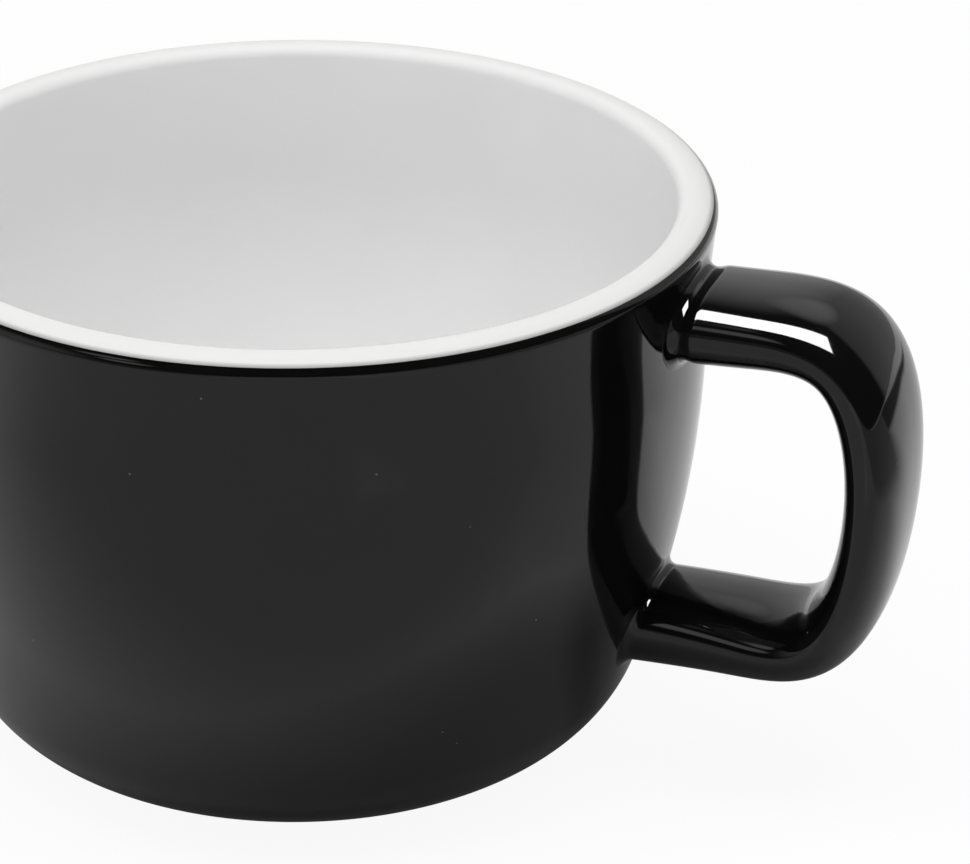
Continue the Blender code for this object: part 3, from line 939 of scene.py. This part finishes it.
silk, tree, shader = new_material("lit_softbox_silk")
ray = add_node(tree, "ShaderNodeLightPath")
first = add_node(
    tree, "ShaderNodeMath", {"operation": "LESS_THAN"}, i0=ray.outputs["Ray Depth"], i1=FIRST_BOUNCE,
)
strength = add_node(
    tree, "ShaderNodeMath", {"operation": "MULTIPLY"}, i0=first.outputs["Value"], i1=FACE_RADIANCE,
)
glow = add_node(tree, "ShaderNodeEmission", Color=(1, 1, 1, 1), Strength=strength.outputs["Value"])
show(tree, glow.outputs["Emission"])
half_width, half_depth = BOX_SIZE[0] / 2, BOX_SIZE[1] / 2
face_corners = lying(box_middle, -half_width, half_width, -half_depth, half_depth)
softbox_face = stage_piece("softbox_face", face_corners, QUAD, silk)
only_mirrored(softbox_face)
mirrors_face = bpy.data.collections.new("mirrors_softbox_face")
mirrors_face.objects.link(handle_coat)
softbox_face.light_linking.receiver_collection = mirrors_face

# %% [markdown]
# ## A flag over the lower arm
# The same lamp would draw a second line along the lower arm. A photographer holds a small card, a flag,
# between the lamp and such a spot. This one lies level beside the wall, grey from below, where the arm
# mirrors it, and clear from above, so that the wall doesn't.

# %% Grey flag
FLAG_HEIGHT = 35.0 * MM
FLAG_EDGES = (26.5 * MM, 33.3 * MM, 23.5 * MM, 29.5 * MM)  # left, right, back and front
FACE_DOWN = [(3, 2, 1, 0)]


def matte(name, colour):
    """A dull material without any gloss, with its node tree and shader."""
    made, tree, shader = new_material(name)
    shader.inputs["Base Color"].default_value = linear(colour)
    shader.inputs["Roughness"].default_value = 1.0
    shader.inputs["Specular IOR Level"].default_value = 0.0
    return made, tree, shader


card, tree, shader = matte("grey_card", "#808080")
side = add_node(tree, "ShaderNodeNewGeometry")
gap = add_node(tree, "ShaderNodeBsdfTransparent")
mixed = add_node(
    tree, "ShaderNodeMixShader",
    i0=side.outputs["Backfacing"], i1=shader.outputs["BSDF"], i2=gap.outputs["BSDF"],
)
show(tree, mixed.outputs["Shader"])
flag_corners = lying(Vector((0, 0, FLAG_HEIGHT)), *FLAG_EDGES)
only_mirrored(stage_piece("grey_flag", flag_corners, FACE_DOWN, card))

# %% [markdown]
# ## Fills from both sides
# One lamp overhead leaves the walls of the white inside dull next to its floor. A weak square fill on each
# side lifts them, and it is kept out of the gloss as the softbox is.

# %% Side fills
FILL_SIZE = (1.0, 1.0)
FILL_DISTANCE = 1.5
FILL_ELEVATION = 35
FILLS = (("left_fill", -80, 0.45), ("right_fill", 80, 0.5))  # name, bearing in degrees, radiance

for name, bearing, radiance in FILLS:
    fill = add_lamp(name, FILL_SIZE, radiance)
    outward = toward(bearing, FILL_ELEVATION)
    fill.location = FILL_DISTANCE * outward
    fill.rotation_euler = outward.to_track_quat("Z", "Y").to_euler()

# %% [markdown]
# ## Dark felt round the set
# A black mirror in a white room looks grey all over, so the set is hung with felt, and soft openings in it
# let the room show where the glaze has its pale bands. The felt is a dome, and each opening is a cone: the
# cosine between a direction and the opening's middle fades from its outer angle to its clear one.

# %% Felt dome with openings
FELT_RADIUS = 2.2
FELT_COLUMNS = 64
FELT_ROWS = 24
FELT_EDGES = (-0.02, math.pi / 2 - 0.01)  # elevations in radians, from under the floor to the top
BLACK_CLOTH = "#0A0A0A"
FELT_LEAK = 0.02  # the share of the room that shows through the felt itself
OPENINGS = (  # bearing, elevation, clear and outer angle in degrees, and how open
    (158, 49, 3, 21, 0.98),
    (-165, 25, 10, 50, 0.80),
    (140, 20, 35, 42, 0.38),
    (-85, 5, 10, 35, 0.48),
    (-46, 24, 3, 9, 0.98),
    (-58, 42, 3, 9, 0.98),
)

felt_cloth, tree, shader = matte("black_felt", BLACK_CLOTH)
spot = add_node(tree, "ShaderNodeTexCoord").outputs["Object"]
way = add_node(tree, "ShaderNodeVectorMath", {"operation": "NORMALIZE"}, i0=spot).outputs["Vector"]
opening = 0.0
for bearing, elevation, clear, outer, share in OPENINGS:
    along = add_node(
        tree, "ShaderNodeVectorMath", {"operation": "DOT_PRODUCT"}, i0=way, i1=toward(bearing, elevation),
    )
    cone = add_node(
        tree, "ShaderNodeMapRange", SMOOTH, i0=along.outputs["Value"],
        i1=math.cos(math.radians(outer)), i2=math.cos(math.radians(clear)), i3=0.0, i4=share,
    )
    wider = add_node(
        tree, "ShaderNodeMath", {"operation": "MAXIMUM"}, i0=cone.outputs["Result"], i1=opening,
    )
    opening = wider.outputs["Value"]
leaky = add_node(tree, "ShaderNodeMath", {"operation": "ADD"}, i0=opening, i1=FELT_LEAK)
gap = add_node(tree, "ShaderNodeBsdfTransparent")
mixed = add_node(
    tree, "ShaderNodeMixShader",
    i0=leaky.outputs["Value"], i1=shader.outputs["BSDF"], i2=gap.outputs["BSDF"],
)
show(tree, mixed.outputs["Shader"])
turn = np.linspace(0, 2 * math.pi, FELT_COLUMNS, endpoint=False)
rise = np.linspace(*FELT_EDGES, FELT_ROWS)[:, None]
around = [np.cos(turn) * np.cos(rise), np.sin(turn) * np.cos(rise), np.sin(rise) + 0 * turn]
felt_points = FELT_RADIUS * np.stack(around, axis=-1).reshape(-1, 3)
felt_faces = ring_faces(FELT_ROWS, FELT_COLUMNS)[:-FELT_COLUMNS]
only_mirrored(stage_piece("dark_felt", felt_points, felt_faces, felt_cloth))

# %% [markdown]
# ## Dark cloths on the floor
# Seen from above, an upright wall mirrors mostly the floor in front of it, so the floor decides how dark
# the cup looks. Black cloths lie there with soft edges, some thin and some thick, and the darkest one at a
# place counts. All are one sheet whose cover is worked out: each edge is a ramp along a bearing from the
# cup's axis, and the ramps of one cloth are multiplied. The last patch is a painted shadow. It is round and
# lies close to the foot, a little to the right, and stands in for the cup's contact shadow, dark in the
# gloss.

# %% Apron of cloths
APRON_LIFT = 0.3 * MM
APRON_EDGES = (-1.5, 1.5, -1.0, 2.0)  # left, right, back and front
CLOTHS = (  # how much a cloth hides, and for each edge a bearing and where the cloth starts and is whole
    (0.50, ((0, -0.01, 0.082), (0, 0.20, 0.12))),
    (0.33, ((0, 0.05, 0.12),)),
    (0.60, ((0, 0.40, 1.20),)),
    (0.50, ((0, 0.07, 0.13), (0, 0.50, 0.30), (90, 0.10, 0.02))),
    (0.85, ((-90, 0.08, 0.16), (0, 0.12, 0.20))),
    (0.70, ((90, 0.11, 0.18), (0, -0.05, -0.015))),
    (0.45, ((90, 0.03, 0.085), (0, -0.03, 0.01))),
    (0.90, ((90, 0.26, 0.34), (0, -0.35, -0.25), (0, 0.0, -0.03))),
)
# painted shadow: a dark disc near the foot that stands in for the cup's contact shadow on the floor, as the
# gloss mirrors it
CONTACT_SHADOW_RIGHT = 20.0 * MM
CONTACT_SHADOW_RADII = (0.095, 0.040)
CONTACT_SHADOW_FRONT = (-0.03, 0.01)
CONTACT_SHADOW_SHARE = 0.70

apron_cloth, tree, shader = matte("black_apron_felt", BLACK_CLOTH)
spot = add_node(tree, "ShaderNodeTexCoord").outputs["Object"]
apron_middle = Vector((AXIS_X, 0, APRON_LIFT))
off_axis = add_node(tree, "ShaderNodeVectorMath", {"operation": "SUBTRACT"}, i0=spot, i1=apron_middle)
off_contact_shadow = add_node(
    tree, "ShaderNodeVectorMath", {"operation": "DISTANCE"},
    i0=spot, i1=apron_middle + CONTACT_SHADOW_RIGHT * toward(90, 0),
)
# painted shadow: the disc's cover, whole within the inner radius and gone at the outer one
painted_contact_shadow = add_node(
    tree, "ShaderNodeMapRange", SMOOTH, i0=off_contact_shadow.outputs["Value"],
    i1=CONTACT_SHADOW_RADII[0], i2=CONTACT_SHADOW_RADII[1], i3=0.0, i4=CONTACT_SHADOW_SHARE,
)
cover = 0.0
for share, edges in (*CLOTHS, (painted_contact_shadow.outputs["Result"], ((0, *CONTACT_SHADOW_FRONT),))):
    for bearing, start, whole in edges:
        along = add_node(
            tree, "ShaderNodeVectorMath", {"operation": "DOT_PRODUCT"},
            i0=off_axis.outputs["Vector"], i1=toward(bearing, 0),
        )
        edge = add_node(
            tree, "ShaderNodeMapRange", SMOOTH,
            i0=along.outputs["Value"], i1=start, i2=whole, i3=0.0, i4=share,
        )
        share = edge.outputs["Result"]
    darker = add_node(tree, "ShaderNodeMath", {"operation": "MAXIMUM"}, i0=share, i1=cover)
    cover = darker.outputs["Value"]
gap = add_node(tree, "ShaderNodeBsdfTransparent")
mixed = add_node(
    tree, "ShaderNodeMixShader", i0=cover, i1=gap.outputs["BSDF"], i2=shader.outputs["BSDF"],
)
show(tree, mixed.outputs["Shader"])
only_mirrored(stage_piece("dark_apron", lying(apron_middle, *APRON_EDGES), QUAD, apron_cloth))

# %% [markdown]
# ## The sizes of the finished pieces
# The box of the finished pieces is set beside the box of the CAD, and their difference is printed, to show
# that no size has changed.

# %% Sizes and finish
bpy.context.scene.view_settings.view_transform = "Standard"
low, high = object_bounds()
sizes = {"cad": [list(cad_low), list(cad_high)], "visual": [list(low), list(high)]}
growth = (np.array(sizes["visual"]) - np.array(sizes["cad"])) / MM
print("visual box against the CAD box, mm:", np.round(growth, 3))
